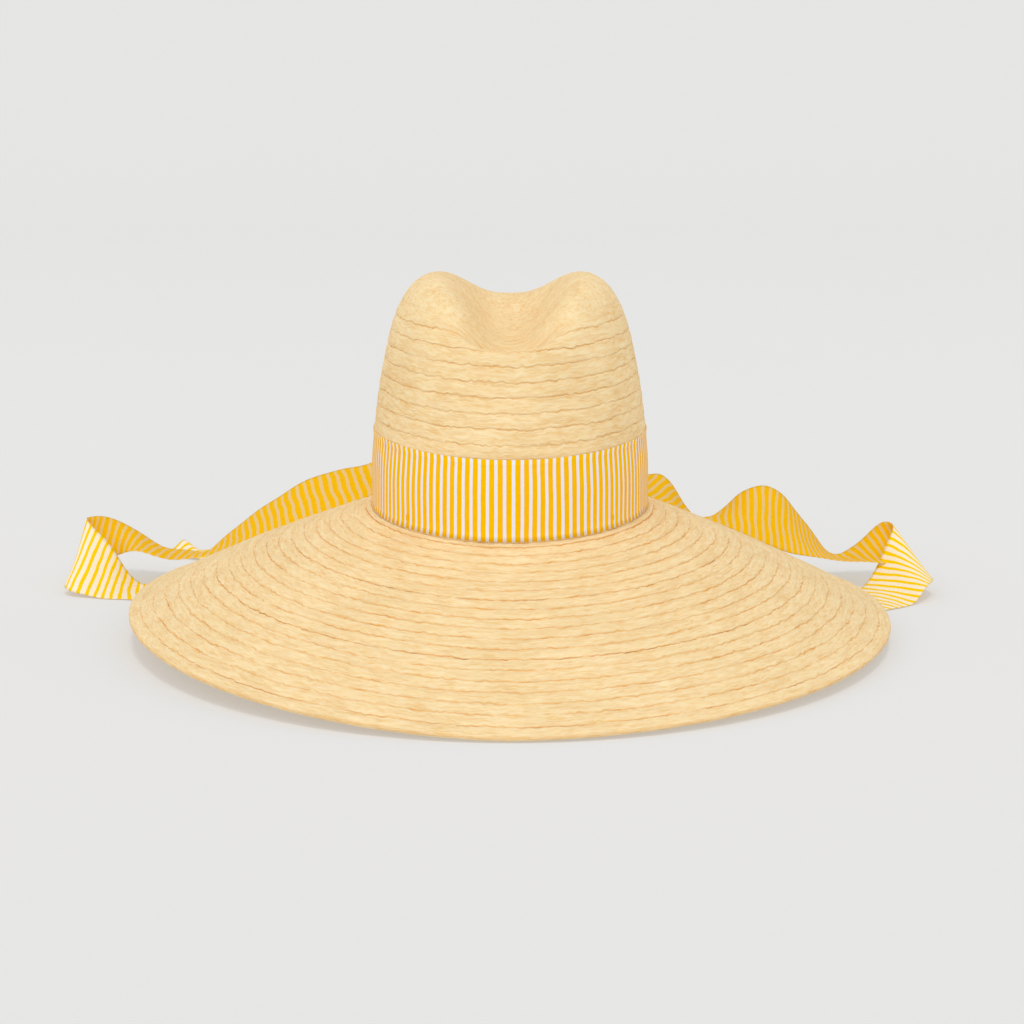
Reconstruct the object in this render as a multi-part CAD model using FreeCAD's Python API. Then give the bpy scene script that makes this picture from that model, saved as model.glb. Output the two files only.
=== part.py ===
import FreeCAD, Part
import math
import os
from FreeCAD import Vector

# Straw sun hat, sewn from braid in rows, with a ribbon band and two long ribbon tails.
# Millimetres, +Z up. The hat stands on the plane Z = 0 with the middle of its head opening
# on the Z axis. -Y is the front of the hat, +X its left side for the wearer facing -Y.

# ---- driving dimensions -----------------------------------------------------------------
HEAD_X = 85.5            # half width of the straw at the head line
HEAD_Y = 102.0           # half depth of the straw at the head line
HEAD_Z = 76.0            # height of the head line at front and back
HEAD_RISE = 4.0          # the head line is this much higher at the sides
BRIM_X = 236.0           # half width of the brim at its edge
BRIM_Y = 250.0           # half depth of the brim at its edge
BRIM_BULGE = 2.8         # how far the brim swells above a straight cone
EDGE_Z = 2.5             # height of the brim's middle surface at the front and back edge
EDGE_LIFT_LEFT = 16.0    # how much higher the edge is at -X
EDGE_LIFT_RIGHT = 8.0    # how much higher the edge is at +X
STRAW = 2.2              # thickness of one sewn layer of lapped braid
BRIM_ROWS = 17           # rows of braid between the head line and the edge row
EDGE_ROW = 11.0          # width of the folded row that binds the edge
EDGE_LAYER = 1.2         # thickness of each leaf of the folded row
EDGE_GRIP = 7.0          # how far the brim goes into the fold
WIRE_R = 0.9             # radius of the wire in the fold
JOINER_LENGTH = 24.0     # sleeve that joins the wire's ends
JOINER_R = 1.15
RIBBON_WIDTH = 48.0
RIBBON = 0.8             # thickness of the ribbon
BAND_FOOT = 1.0          # height of the band's lower edge above the head line
KNOT_SIZE = Vector(30, 13, 34)
KNOT_HEIGHT = 24.0       # height of its middle above the head line
KNOT_CLEAR = 0.6         # space between the knot and the band
KNOT_ROUND = 5.5         # radius of its rounded arrises
SWEATBAND = 1.0          # thickness of the sweatband
SWEATBAND_HEIGHT = 32.0
SWEATBAND_FOOT = 3.0     # height of its lower edge above the head line
SWEATBAND_LEAN = 1.2     # how much further inwards its upper edge stands
STITCH_LENGTH = 3.2
STITCH_R = 0.3
STITCH_COUNT = 90
STITCH_HEIGHT = 3.0      # height of the stitches above the sweatband's lower edge
STITCH_CLEAR = 0.35
TACK_COUNT = 4
TACK_HEIGHT = 6.0        # height of the tacks above the head line
LABEL_WIDTH = 42.0
LABEL_HEIGHT = 20.0
LABEL_FOOT = 8.0         # height of its lower edge above the sweatband's
LABEL = 0.5
GAP = 0.05               # clearance between sewn layers

# Crown outline: share of the head line's size, and height, before the dent is pressed in.
CROWN_OUTLINE = [(1.0, 76), (1.0, 92), (1.0, 108), (0.982, 124), (0.95, 150), (0.895, 175),
                 (0.835, 197), (0.735, 215), (0.58, 225), (0.36, 227.5), (0.18, 228), (0.04, 228)]
SIDE_ROWS = 12           # rows of braid on the side of the crown
TIP_ROWS = 10            # rows of braid on its tip
SIDE_END = 0.56          # place on the outline where the side becomes the tip
DENT_FRONT = 36.0        # depth of the dent at the front of the tip
DENT_MIDDLE = 40.0
DENT_BACK = 12.0
DENT_FRONT_Y = -75.0
DENT_MIDDLE_Y = -20.0
DENT_BACK_Y = 75.0
DENT_WIDTH = 29.0        # half width of the dent where it is at a third of its depth
DENT_POWER = 2.4         # more than 2 gives the dent a flatter floor
DENT_LEVEL = 200.0       # height at which the pressing of the dent begins to show
DENT_BLEND = 5.0
SIDE_FADE = 60.0         # height above the head line over which its rise at the sides dies out

AROUND = 48              # points round each ring
WIRE_SIDES = 10          # flats round the wire
LABEL_STRIPS = 6         # flats along the label
DIFFERENCE = 0.004       # step of place and angle used to find a surface's slope


def export(shape, node):
    os.makedirs("parts", exist_ok=True)
    shape.exportStep("parts/" + node + ".step")


# ---- the hat's surface ------------------------------------------------------------------
def clamp(value, low, high):
    return max(low, min(high, value))


def head_height(angle):
    return HEAD_Z + HEAD_RISE * math.cos(angle) ** 2


def edge_height(angle):
    lift = EDGE_LIFT_RIGHT if math.cos(angle) > 0 else EDGE_LIFT_LEFT
    return EDGE_Z + lift * abs(math.cos(angle)) ** 1.4


def dent_depth(y):
    """Quadratic through the three stated depths."""
    rise_front = (DENT_MIDDLE - DENT_FRONT) / (DENT_MIDDLE_Y - DENT_FRONT_Y)
    rise_back = (DENT_BACK - DENT_MIDDLE) / (DENT_BACK_Y - DENT_MIDDLE_Y)
    bend = (rise_back - rise_front) / (DENT_BACK_Y - DENT_FRONT_Y)
    depth = DENT_FRONT + rise_front * (y - DENT_FRONT_Y) + bend * (y - DENT_FRONT_Y) * (y - DENT_MIDDLE_Y)
    return max(depth, 0.0)


OUTLINE_CURVE = Part.BSplineCurve()
OUTLINE_CURVE.buildFromPoles([Vector(share, height, 0) for share, height in CROWN_OUTLINE], False, 3)


def crown_point(place, angle):
    """Outer surface of the crown: place 0 is the head line, 1 the middle of the tip."""
    first = OUTLINE_CURVE.FirstParameter
    last = OUTLINE_CURVE.LastParameter
    outline = OUTLINE_CURVE.value(first + (last - first) * clamp(place, 0.0, 1.0))
    x = HEAD_X * outline.x * math.cos(angle)
    y = HEAD_Y * outline.x * math.sin(angle)
    across = math.exp(-abs(x / DENT_WIDTH) ** DENT_POWER)
    pressed = 1.0 / (1.0 + math.exp((DENT_LEVEL - outline.y) / DENT_BLEND))
    fade = 1.0 - clamp((outline.y - HEAD_Z) / SIDE_FADE, 0.0, 1.0)
    side_rise = (head_height(angle) - HEAD_Z) * fade
    z = outline.y - dent_depth(y) * across * pressed + side_rise
    return Vector(x, y, z)


def brim_point(share, angle):
    """Upper surface of the brim: share 0 is the head line, 1 the edge."""
    half_x = HEAD_X + (BRIM_X - HEAD_X) * share
    half_y = HEAD_Y + (BRIM_Y - HEAD_Y) * share
    fall = head_height(angle) - edge_height(angle)
    z = head_height(angle) - fall * share + BRIM_BULGE * math.sin(math.pi * share)
    return Vector(half_x * math.cos(angle), half_y * math.sin(angle), z)


def normal(surface, place, angle):
    """Outward unit normal of a surface given as a function of place and angle."""
    low = clamp(place - DIFFERENCE, 0.0, 1.0 - DIFFERENCE)
    high = clamp(place + DIFFERENCE, DIFFERENCE, 1.0)
    along = surface(high, angle) - surface(low, angle)
    around = surface(place, angle + DIFFERENCE) - surface(place, angle - DIFFERENCE)
    direction = around.cross(along)
    direction.normalize()
    if surface is brim_point:
        direction = direction * -1.0
    return direction


def offset(surface, place, angle, distance):
    return surface(place, angle) + normal(surface, place, angle) * distance


# ---- rings of points made into solids -----------------------------------------------------
def ring(point_at):
    """Closed smooth edge through point_at(angle) for angles all the way round."""
    points = [point_at(2.0 * math.pi * step / AROUND) for step in range(AROUND)]
    curve = Part.BSplineCurve()
    curve.interpolate(Points=points, PeriodicFlag=True)
    return curve.toShape()


def solid_from(faces):
    shell = Part.Shell(faces)
    shell.sewShape()
    if shell.ShapeType != "Shell":
        shell = shell.Shells[0]
    solid = Part.Solid(shell)
    if solid.Volume < 0:
        solid.reverse()
    return solid


def ring_solid(rings):
    """Solid bounded by ruled faces between successive closed rings, the last joined to the first."""
    faces = []
    for index, edge in enumerate(rings):
        following = rings[(index + 1) % len(rings)]
        faces.append(Part.makeRuledSurface(edge, following))
    return solid_from(faces)


def steps(first, last, count):
    return [first + (last - first) * index / count for index in range(count + 1)]


# ---- straw --------------------------------------------------------------------------------
def head_line_ring(inset):
    """Ring on the head line where crown and brim meet."""
    def at(angle):
        point = crown_point(0.0, angle)
        inward = Vector(math.cos(angle) / HEAD_X, math.sin(angle) / HEAD_Y, 0)
        inward.normalize()
        return point - inward * inset
    return ring(at)


def crown_ring(place, inset):
    return ring(lambda angle: offset(crown_point, place, angle, -inset))


def brim_ring(share, inset):
    return ring(lambda angle: offset(brim_point, share, angle, -inset))


def crown_side():
    places = steps(0.0, SIDE_END, SIDE_ROWS)[1:]
    outer = [head_line_ring(0.0)] + [crown_ring(place, 0.0) for place in places]
    inner = [head_line_ring(STRAW)] + [crown_ring(place, STRAW) for place in places]
    return ring_solid(outer + inner[::-1])


def crown_tip():
    places = steps(SIDE_END, 1.0, TIP_ROWS)
    faces = []
    for inset in (0.0, STRAW):
        rings = [crown_ring(place, inset) for place in places[:-1]]
        middle_height = crown_point(1.0, 0.0).z - inset
        share = CROWN_OUTLINE[-1][0]
        middle = ring(lambda angle: Vector(HEAD_X * share * math.cos(angle),
                                           HEAD_Y * share * math.sin(angle), middle_height))
        rings.append(middle)
        for below, above in zip(rings, rings[1:]):
            faces.append(Part.makeRuledSurface(below, above))
        faces.append(Part.Face(Part.Wire([middle])))
    faces.append(Part.makeRuledSurface(crown_ring(SIDE_END, 0.0), crown_ring(SIDE_END, STRAW)))
    return solid_from(faces)


def edge_share(inset):
    """Share of the brim's width that lies this far inside its edge."""
    return 1.0 - inset / (BRIM_X - HEAD_X)


def brim():
    last = edge_share(EDGE_ROW - EDGE_GRIP)
    shares = steps(0.0, last, BRIM_ROWS)[1:]
    upper = [head_line_ring(0.0)] + [brim_ring(share, 0.0) for share in shares]
    lower = [head_line_ring(STRAW)] + [brim_ring(share, STRAW) for share in shares]
    return ring_solid(upper + lower[::-1])


def brim_edge_row():
    """Row folded over the brim and its wire, a C section open towards the crown."""
    inner = edge_share(EDGE_ROW)
    fold = edge_share(EDGE_LAYER)
    top = -EDGE_LAYER
    leaf_top = -GAP
    leaf_bottom = STRAW + GAP
    bottom = STRAW + EDGE_LAYER
    section = [(inner, leaf_top), (inner, top), (edge_share(1.0), top), (1.0, 0.0), (1.0, STRAW),
               (edge_share(1.0), bottom), (inner, bottom), (inner, leaf_bottom), (fold, leaf_bottom),
               (fold, leaf_top)]
    return ring_solid([brim_ring(share, inset) for share, inset in section])


def wire_centre(angle):
    share = edge_share(EDGE_LAYER + GAP + JOINER_R)
    return offset(brim_point, share, angle, -STRAW / 2.0)


def tube_ring(centre_at, radius, turn):
    """Ring on a round bar that follows centre_at, at one angle round its section."""
    def at(angle):
        centre = centre_at(angle)
        ahead = centre_at(angle + DIFFERENCE) - centre_at(angle - DIFFERENCE)
        outward = Vector(ahead.y, -ahead.x, 0)
        outward.normalize()
        across = ahead.cross(outward)
        across.normalize()
        return centre + (outward * math.cos(turn) + across * math.sin(turn)) * radius
    return ring(at)


def brim_wire():
    turns = [2.0 * math.pi * index / WIRE_SIDES for index in range(WIRE_SIDES)]
    return ring_solid([tube_ring(wire_centre, WIRE_R, turn) for turn in turns])


def wire_joiner():
    """Short sleeve crimped over the wire's ends at the back."""
    middle = wire_centre(math.pi / 2.0)
    base = middle - Vector(JOINER_LENGTH / 2.0, 0, 0)
    sleeve = Part.makeCylinder(JOINER_R, JOINER_LENGTH, base, Vector(1, 0, 0))
    return sleeve.cut(brim_wire())


# ---- ribbon -------------------------------------------------------------------------------
def hat_band():
    """Ribbon round the foot of the crown."""
    def place_at(height):
        low, high = 0.0, 1.0
        for _ in range(40):
            middle = (low + high) / 2.0
            if crown_point(middle, math.pi / 2.0).z < height:
                low = middle
            else:
                high = middle
        return low
    foot = HEAD_Z + BAND_FOOT
    heights = steps(foot, foot + RIBBON_WIDTH, 5)
    places = [place_at(height) for height in heights]
    inner = [crown_ring(place, -GAP) for place in places]
    outer = [crown_ring(place, -GAP - RIBBON) for place in places]
    return ring_solid(outer + inner[::-1])


def strip(stations):
    """Thin curved strip. Each station holds a point on its two selvedges."""
    count = len(stations)
    sides = []
    for index, (first, second) in enumerate(stations):
        before = stations[max(index - 1, 0)]
        after = stations[min(index + 1, count - 1)]
        along = (after[0] + after[1]) - (before[0] + before[1])
        across = second - first
        up = along.cross(across)
        up.normalize()
        half = up * (RIBBON / 2.0)
        sides.append([first + half, second + half, second - half, first - half])
    places = [0.0]
    for before, after in zip(stations, stations[1:]):
        places.append(places[-1] + (after[0] + after[1] - before[0] - before[1]).Length / 2.0)
    edges = []
    for corner in range(4):
        curve = Part.BSplineCurve()
        curve.interpolate(Points=[side[corner] for side in sides], Parameters=places)
        edges.append(curve.toShape())
    faces = [Part.makeRuledSurface(edges[corner], edges[(corner + 1) % 4], 1) for corner in range(4)]
    for end in (0, -1):
        corners = sides[end]
        near = Part.makeLine(corners[0], corners[1])
        far = Part.makeLine(corners[3], corners[2])
        faces.append(Part.makeRuledSurface(near, far))
    return solid_from(faces)


# Selvedge points of the tails, upper then lower, from the knot to the cut end.
TAIL_LEFT = [
    ((-14, 110, 113), (-14, 112, 84)), ((-50, 119, 104), (-46, 106, 72)),
    ((-96, 125, 82), (-88, 84, 68)), ((-116, 128, 77), (-108, 85, 62)),
    ((-131, 128, 72.5), (-122, 85, 57)), ((-146, 128, 65.5), (-135, 85, 52)),
    ((-162, 130, 55), (-149, 87, 46)), ((-178, 133, 42.5), (-162, 90, 40)),
    ((-189.5, 137, 33.5), (-175, 94, 34.5)), ((-202, 142, 22), (-190, 97, 28)),
    ((-210, 148, 16.5), (-203, 101, 24)), ((-222, 150, 16.7), (-219, 103, 21.4)),
    ((-234, 150, 18.2), (-231, 103, 22)), ((-243.5, 150, 22.7), (-243.5, 106, 24.3)),
    ((-256.5, 152, 30.4), (-254.5, 112, 24.9)), ((-268, 152, 37), (-265.5, 121, 20.3)),
    ((-276.5, 149, 40.5), (-277, 115, 15.5)), ((-284, 140, 43), (-284, 106, 11.5)),
    ((-283.5, 127, 43.5), (-287.1, 95, 6.2)), ((-280.5, 118, 39.5), (-286, 86, 4.5)),
    ((-272, 115, 32.5), (-283, 82, 3)), ((-264.5, 113.5, 22), (-279, 80, 3)),
    ((-257.5, 114, 10), (-268, 76, 3)), ((-248.5, 113.5, 3), (-255, 74, 3)),
    ((-240, 115, 3.4), (-236, 70, 3.4)), ((-231, 121, 3.4), (-210, 77, 3.4)),
    ((-222, 130, 3.4), (-186, 98, 3.4)), ((-216, 142, 3.4), (-171, 124, 3.4)),
    ((-212, 156, 3.4), (-164, 151, 3.4)), ((-211, 170, 3.4), (-163, 176, 3.4)),
    ((-214, 181, 3.4), (-168, 195, 3.4)), ((-222, 190, 3.4), (-177, 207, 3.4)),
    ((-231, 199, 3.4), (-187, 219, 3.4)), ((-243, 212, 3.4), (-203, 233, 3.4)),
]
TAIL_RIGHT = [
    ((14, 110, 113), (14, 112, 84)), ((50, 117, 102), (46, 106, 73)),
    ((74, 119, 86), (64, 88, 73)), ((92, 118, 76), (80, 79, 71.5)),
    ((99, 118, 77), (87, 77, 70.5)), ((106, 120, 72), (94, 78, 67.5)),
    ((112, 123, 63.8), (101, 81, 64)), ((117, 126, 55), (107, 84, 61)),
    ((123.5, 130, 46), (113, 89, 57)), ((129.5, 131, 42), (119, 91, 54.5)),
    ((136, 130, 45), (124, 89, 53)), ((142, 129, 49.5), (131, 86, 51)),
    ((148.5, 127, 54.8), (139, 84, 48.5)), ((153.6, 126, 60), (146, 84, 46)),
    ((161, 124, 65), (154, 84, 44)), ((169.6, 124, 67.7), (163, 87, 39)),
    ((177.6, 126, 65.3), (172, 90, 35)), ((185.4, 130, 59), (181, 92, 31.5)),
    ((193, 136, 49.5), (190, 95, 28.2)), ((201.3, 142, 37.9), (200.6, 98, 25)),
    ((211.6, 148, 24), (211, 102, 22.3)), ((218.7, 151, 16.3), (219.5, 104, 20)),
    ((224.6, 152, 14), (227.7, 105, 18.5)), ((229.4, 153, 14.5), (237.3, 106, 18.5)),
    ((236.2, 153, 18.7), (246, 107, 18.4)), ((242.6, 152, 24.6), (253.6, 108, 17.5)),
    ((249, 150, 32), (262, 110, 15.5)), ((255.5, 146, 38), (270, 109, 14)),
    ((260, 136, 39), (276.5, 102, 12)), ((258.5, 125, 35), (281, 93, 10.9)),
    ((254, 119, 28), (280, 84, 11)), ((249, 114, 19), (276, 76, 10.5)),
    ((244, 108, 11), (271.5, 68, 7.7)), ((238, 101, 4.5), (264, 60, 3)),
    ((229, 92, 3), (252, 50, 3)), ((215, 82, 3), (236, 39, 3)),
    ((196, 75, 3), (212, 30, 3)),
]


def ribbon_tail(points):
    return strip([(Vector(*first), Vector(*second)) for first, second in points])


def ribbon_knot():
    """Flat overhand knot at the back of the crown, a plump block with its arrises rounded off."""
    back = HEAD_Y + RIBBON + GAP
    foot = HEAD_Z + KNOT_HEIGHT - KNOT_SIZE.z / 2.0
    corner = Vector(-KNOT_SIZE.x / 2.0, back + KNOT_CLEAR, foot)
    block = Part.makeBox(KNOT_SIZE.x, KNOT_SIZE.y, KNOT_SIZE.z, corner)
    return block.makeFillet(KNOT_ROUND, block.Edges)


# ---- inside the crown -----------------------------------------------------------------------
def inside_point(angle, height, inset):
    """Point inside the crown wall at a height above the head line."""
    outward = Vector(math.cos(angle) / HEAD_X, math.sin(angle) / HEAD_Y, 0)
    outward.normalize()
    wall = Vector(HEAD_X * math.cos(angle), HEAD_Y * math.sin(angle), 0)
    point = wall - outward * (STRAW + GAP + inset)
    return Vector(point.x, point.y, head_height(angle) + height)


def sweatband():
    heights = (SWEATBAND_FOOT, SWEATBAND_FOOT + SWEATBAND_HEIGHT)
    lean = SWEATBAND_LEAN
    outer = [ring(lambda angle: inside_point(angle, heights[0], 0.0)),
             ring(lambda angle: inside_point(angle, heights[1], lean))]
    inner = [ring(lambda angle: inside_point(angle, heights[1], lean + SWEATBAND)),
             ring(lambda angle: inside_point(angle, heights[0], SWEATBAND))]
    return ring_solid(outer + inner)


def sweatband_stitches():
    """Row of thread stitches along the sweatband's lower edge."""
    height = SWEATBAND_FOOT + STITCH_HEIGHT
    inset = SWEATBAND + STITCH_CLEAR + STITCH_R
    stitches = []
    for index in range(STITCH_COUNT):
        angle = 2.0 * math.pi * index / STITCH_COUNT
        ahead = inside_point(angle + DIFFERENCE, height, inset)
        along = ahead - inside_point(angle - DIFFERENCE, height, inset)
        along.normalize()
        start = inside_point(angle, height, inset) - along * (STITCH_LENGTH / 2.0)
        stitches.append(Part.makeCylinder(STITCH_R, STITCH_LENGTH, start, along))
    return Part.makeCompound(stitches)


def band_tacks():
    """Short thread tacks that hold the ribbon band's lower edge to the crown."""
    tacks = []
    for index in range(TACK_COUNT):
        angle = 2.0 * math.pi * (index + 0.5) / TACK_COUNT
        foot = inside_point(angle, TACK_HEIGHT, -(STRAW + 2.0 * GAP + RIBBON + STITCH_R))
        tacks.append(Part.makeCylinder(STITCH_R, STITCH_LENGTH, foot, Vector(0, 0, 1)))
    return Part.makeCompound(tacks)


def inside_label():
    """Blank woven label sewn to the back of the sweatband."""
    foot = SWEATBAND_FOOT + LABEL_FOOT
    half_angle = LABEL_WIDTH / 2.0 / HEAD_X
    inset = SWEATBAND_LEAN + SWEATBAND + LABEL
    stations = []
    for angle in steps(math.pi / 2.0 - half_angle, math.pi / 2.0 + half_angle, LABEL_STRIPS):
        low = inside_point(angle, foot, inset)
        high = inside_point(angle, foot + LABEL_HEIGHT, inset)
        stations.append((low, high))
    return strip_of(stations, LABEL)


def strip_of(stations, thickness):
    """Flat strip of a stated thickness whose stations stand upright, lowest point first."""
    solids = []
    for low, high in zip(stations, stations[1:]):
        face = Part.Face(Part.makePolygon([low[0], high[0], high[1], low[1], low[0]]))
        solids.append(face.extrude(Vector(0, -thickness, 0)))
    joined = solids[0]
    for piece in solids[1:]:
        joined = joined.fuse(piece)
    return joined.removeSplitter()


def main():
    export(crown_tip(), "crown_tip")
    export(crown_side(), "crown_side")
    export(brim(), "brim")
    export(brim_edge_row(), "brim_edge_row")
    export(brim_wire(), "brim_wire")
    export(wire_joiner(), "wire_joiner")
    export(hat_band(), "hat_band")
    export(band_tacks(), "band_tacks")
    export(ribbon_knot(), "ribbon_knot")
    export(ribbon_tail(TAIL_LEFT), "ribbon_tail_left")
    export(ribbon_tail(TAIL_RIGHT), "ribbon_tail_right")
    export(sweatband(), "sweatband")
    export(sweatband_stitches(), "sweatband_stitches")
    export(inside_label(), "inside_label")


main()
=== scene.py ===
import math

import bpy
import numpy as np
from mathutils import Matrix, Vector


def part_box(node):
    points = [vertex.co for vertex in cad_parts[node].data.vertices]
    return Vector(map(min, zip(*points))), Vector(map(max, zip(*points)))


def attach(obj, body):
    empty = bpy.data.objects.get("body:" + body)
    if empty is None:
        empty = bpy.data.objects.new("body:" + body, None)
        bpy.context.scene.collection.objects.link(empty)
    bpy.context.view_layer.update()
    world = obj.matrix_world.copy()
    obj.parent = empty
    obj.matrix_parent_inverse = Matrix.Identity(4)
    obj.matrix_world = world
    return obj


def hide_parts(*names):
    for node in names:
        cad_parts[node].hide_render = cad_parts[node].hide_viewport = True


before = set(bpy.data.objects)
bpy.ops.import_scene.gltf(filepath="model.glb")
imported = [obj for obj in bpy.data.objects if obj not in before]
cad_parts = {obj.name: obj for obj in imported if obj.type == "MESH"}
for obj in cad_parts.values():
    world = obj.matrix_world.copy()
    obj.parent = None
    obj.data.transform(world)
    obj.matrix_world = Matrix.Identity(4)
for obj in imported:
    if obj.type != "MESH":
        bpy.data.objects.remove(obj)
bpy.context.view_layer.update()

# ---- sizes, in metres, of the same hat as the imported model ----
MM = 0.001
HEAD_X, HEAD_Y, HEAD_Z = 85.5 * MM, 102.0 * MM, 76.0 * MM
HEAD_RISE = 4.0 * MM
BRIM_X, BRIM_Y = 236.0 * MM, 250.0 * MM
BRIM_BULGE = 2.8 * MM
EDGE_Z = 2.5 * MM
EDGE_LIFT_LEFT, EDGE_LIFT_RIGHT = 16.0 * MM, 8.0 * MM
EDGE_LIFT_POWER = 1.4
STRAW = 2.0 * MM
# Control points up the crown: share of the head's oval, and height in millimetres.
CROWN_OUTLINE = [(1.0, 76), (1.0, 92), (1.0, 108), (0.982, 124), (0.95, 150), (0.895, 175),
                 (0.835, 197), (0.735, 215), (0.58, 225), (0.36, 227.5), (0.18, 228), (0.0, 228)]
# Places from front to back, and the dent's depth there.
DENT_DEPTHS = ((-75.0 * MM, 36.0 * MM), (-20.0 * MM, 40.0 * MM), (75.0 * MM, 12.0 * MM))
DENT_WIDTH = 29.0 * MM
DENT_POWER = 2.4
DENT_LEVEL, DENT_BLEND = 200.0 * MM, 5.0 * MM
ROW_PITCH = 9.2 * MM
CROWN_FIRST_ROW = 11.1 * MM
BRIM_ROWS = 19
BRIM_FIRST_ROW = 0.45  # share of a full row that shows between the band and the next row
BAND_FOOT, BAND_WIDTH = 0.9 * MM, 48.0 * MM
BAND_TOP = HEAD_Z + BAND_FOOT + BAND_WIDTH
BAND_PULL = 0.8 * MM  # how far the drawn band presses the straw in
PULL_OVER, PULL_FADE = 2.0 * MM, 3.0 * MM  # how far above the band it ends, over what height
PULL_START = 4.0 * MM  # height above the head line at which the pull is full
RISE_FADE = 60.0 * MM  # height over which the head line's own curve fades out
RIBBON = 0.5 * MM
BAND_PITCH, TAIL_PITCH = 5.0 * MM, 5.75 * MM
REVERSE = 1.0  # UV offset of the reverse face of a ribbon, in metres
SEED = 7

# ---- camera ----
CAMERA_ELEVATION = math.radians(10.8)
CAMERA_DISTANCE = 1.5
CAMERA_TARGET = Vector((0.0, 0.0, 0.09))
CAMERA_LENS, SENSOR_WIDTH = 84.9, 36.0  # in millimetres
CAMERA_SHIFT_X, CAMERA_SHIFT_Y = 0.002, -0.0244


def make_camera():
    data = bpy.data.cameras.new("camera")
    data.lens = CAMERA_LENS
    data.sensor_width = SENSOR_WIDTH
    data.shift_x = CAMERA_SHIFT_X
    data.shift_y = CAMERA_SHIFT_Y
    camera = bpy.data.objects.new("camera", data)
    back = Vector((0.0, -math.cos(CAMERA_ELEVATION), math.sin(CAMERA_ELEVATION)))
    camera.location = CAMERA_TARGET + back * CAMERA_DISTANCE
    camera.rotation_euler = (-back).to_track_quat("-Z", "Y").to_euler()
    bpy.context.scene.collection.objects.link(camera)
    bpy.context.scene.camera = camera


# ---- noise ----
def clamp(values):
    return np.clip(values, 0.0, 1.0)


def ring_noise(turn, across, cells, seed):
    """Smooth noise in -1..1. turn is 0..1 round the hat and closes on itself; across is in cells."""
    generator = np.random.default_rng(SEED * 1000 + seed)
    cells = max(int(cells), 3)
    lattice = generator.uniform(-1.0, 1.0, (int(np.max(across)) + 3, cells))
    x = np.mod(turn, 1.0) * cells
    column = np.floor(x).astype(int)
    row = np.floor(across).astype(int)
    fx = x - column
    fy = across - row
    fx = fx * fx * (3.0 - 2.0 * fx)
    fy = fy * fy * (3.0 - 2.0 * fy)
    here, there = column % cells, (column + 1) % cells
    low = lattice[row, here] * (1 - fx) + lattice[row, there] * fx
    high = lattice[row + 1, here] * (1 - fx) + lattice[row + 1, there] * fx
    return low * (1 - fy) + high * fy


# ---- the hat's surface ----
OUTLINE_COUNT = 500


def head_height(angle):
    return HEAD_Z + HEAD_RISE * np.cos(angle) ** 2


def edge_height(angle):
    lift = np.where(np.cos(angle) > 0, EDGE_LIFT_RIGHT, EDGE_LIFT_LEFT)
    return EDGE_Z + lift * np.abs(np.cos(angle)) ** EDGE_LIFT_POWER


def dent_depth(y):
    """Quadratic through the three stated depths."""
    (y0, d0), (y1, d1), (y2, d2) = DENT_DEPTHS
    first = (d1 - d0) / (y1 - y0)
    second = ((d2 - d1) / (y2 - y1) - first) / (y2 - y0)
    return np.maximum(d0 + first * (y - y0) + second * (y - y0) * (y - y1), 0.0)


def outline_points(count):
    """The crown's outline as a clamped cubic B-spline, shaped by its control points."""
    control = np.array(CROWN_OUTLINE, float)
    control[:, 1] *= MM
    degree = 3
    spans = len(control) - degree
    knots = np.concatenate([np.zeros(degree), np.linspace(0, 1, spans + 1), np.ones(degree)])
    places = np.linspace(0, 1, count)
    points = np.empty((count, 2))
    for index, place in enumerate(places):
        span = min(int(place * spans), spans - 1) + degree
        work = control[span - degree:span + 1].copy()
        for level in range(1, degree + 1):
            for step in range(degree, level - 1, -1):
                left = knots[span - degree + step]
                right = knots[span + 1 + step - level]
                mix = (place - left) / (right - left)
                work[step] = (1 - mix) * work[step - 1] + mix * work[step]
        points[index] = work[degree]
    return places, points


OUTLINE_PLACES, OUTLINE = outline_points(OUTLINE_COUNT)


def crown_surface(place, angle):
    """Points of the crown's outer surface; place 0 is the head line, 1 the middle of the tip."""
    share = np.interp(place, OUTLINE_PLACES, OUTLINE[:, 0])
    height = np.interp(place, OUTLINE_PLACES, OUTLINE[:, 1])
    pulled = clamp((BAND_TOP + PULL_OVER - height) / PULL_FADE)
    pulled = pulled * clamp((height - HEAD_Z) / PULL_START)
    share = share - BAND_PULL / HEAD_X * pulled
    x = HEAD_X * share * np.cos(angle)
    y = HEAD_Y * share * np.sin(angle)
    across = np.exp(-np.abs(x / DENT_WIDTH) ** DENT_POWER)
    pressed = 1.0 / (1.0 + np.exp((DENT_LEVEL - height) / DENT_BLEND))
    fade = 1.0 - clamp((height - HEAD_Z) / RISE_FADE)
    z = height - dent_depth(y) * across * pressed + (head_height(angle) - HEAD_Z) * fade
    return np.stack([x, y, z], -1)


def brim_surface(share, angle):
    """Points of the brim's upper surface; share 0 is the head line, 1 the edge."""
    half_x = HEAD_X + (BRIM_X - HEAD_X) * share
    half_y = HEAD_Y + (BRIM_Y - HEAD_Y) * share
    fall = head_height(angle) - edge_height(angle)
    z = head_height(angle) - fall * share + BRIM_BULGE * np.sin(math.pi * clamp(share))
    return np.stack([half_x * np.cos(angle), half_y * np.sin(angle), z], -1)


def grid(first, second):
    """Two grids of the values of first down and of second across."""
    return np.meshgrid(first, second, indexing="ij")


def unit(vectors):
    return vectors / np.maximum(np.linalg.norm(vectors, axis=-1, keepdims=True), 1e-12)


def head_outward(angle):
    """Level unit vectors that point out of the head's oval."""
    return unit(np.stack([np.cos(angle) / HEAD_X, np.sin(angle) / HEAD_Y, 0 * angle], -1))


def normals(points, outward):
    """Unit normals of a grid of points that closes round its second direction."""
    along = np.gradient(points, axis=0)
    around = np.roll(points, -1, axis=1) - np.roll(points, 1, axis=1)
    return unit(np.cross(around, along) * outward)


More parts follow.
